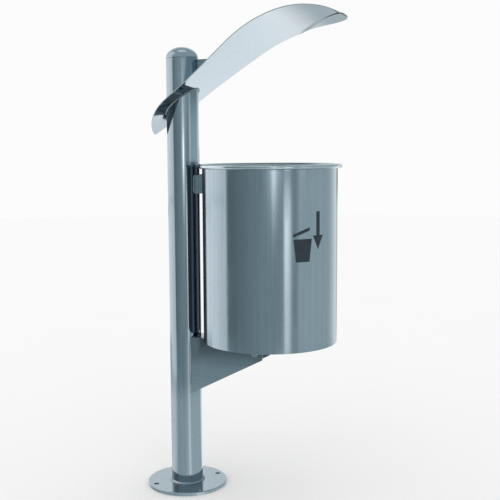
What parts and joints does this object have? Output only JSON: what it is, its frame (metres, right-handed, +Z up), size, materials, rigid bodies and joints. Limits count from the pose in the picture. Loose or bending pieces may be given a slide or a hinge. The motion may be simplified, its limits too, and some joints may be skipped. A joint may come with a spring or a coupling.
{
  "type": "post-mounted litter bin",
  "caption": "Round steel litter bin on a tube post with a foot flange, a bracket it tips forward on, a key lock and a curved leaf-shaped rain roof.",
  "frame": {"origin": "centre of the foot flange's underside, on the ground", "axes": "+Z up along the post, +X from the post towards the bin, +Y to the left when facing +X"},
  "size_m": [0.482, 0.331, 1.1153],
  "materials": {
    "polished_steel": "polished stainless steel with fine drawing lines",
    "brushed_sheet": "bright stainless sheet with a fine upright grain",
    "satin_steel": "satin stainless plate",
    "weld_metal": "cleaned weld bead with ripples",
    "fastener_steel": "plain stainless fastener",
    "rubber": "matt black rubber",
    "nylon": "natural nylon",
    "sign_film": "dark matt film"
  },
  "bodies": {
    "stand": {"post_tube": "polished_steel", "post_cap": "polished_steel", "base_flange": "polished_steel", "base_weld": "weld_metal", "bin_bracket": "satin_steel", "rest_pad": "rubber", "bracket_welds": "weld_metal", "hinge_bolt": "fastener_steel", "hinge_nut": "fastener_steel", "hinge_washers": "nylon", "hinge_sleeve": "satin_steel", "lock_arm": "satin_steel", "arm_welds": "weld_metal", "lock_barrel": "fastener_steel", "lock_nut": "fastener_steel", "roof_sheet": "polished_steel", "roof_weld": "weld_metal", "roof_gusset": "satin_steel"},
    "bin": {"bin_shell": "brushed_sheet", "bin_floor": "satin_steel", "hinge_lugs": "satin_steel", "lug_screws": "fastener_steel", "keeper": "satin_steel", "keeper_rivets": "fastener_steel", "bin_sign": "sign_film"},
    "lock": {"lock_core": "fastener_steel", "lock_cam": "fastener_steel", "cam_screw": "fastener_steel"}
  },
  "joints": [
    {"name": "bin_tilt", "type": "hinge", "parent": "stand", "child": "bin", "pos_m": [0.19, 0, 0.345], "axis": [0, 1, 0], "range_deg": [0, 100]},
    {"name": "lock_turn", "type": "hinge", "parent": "stand", "child": "lock", "pos_m": [0.048, -0.006, 0.75], "axis": [0, 0, 1], "range_deg": [0, 90]}
  ]
}
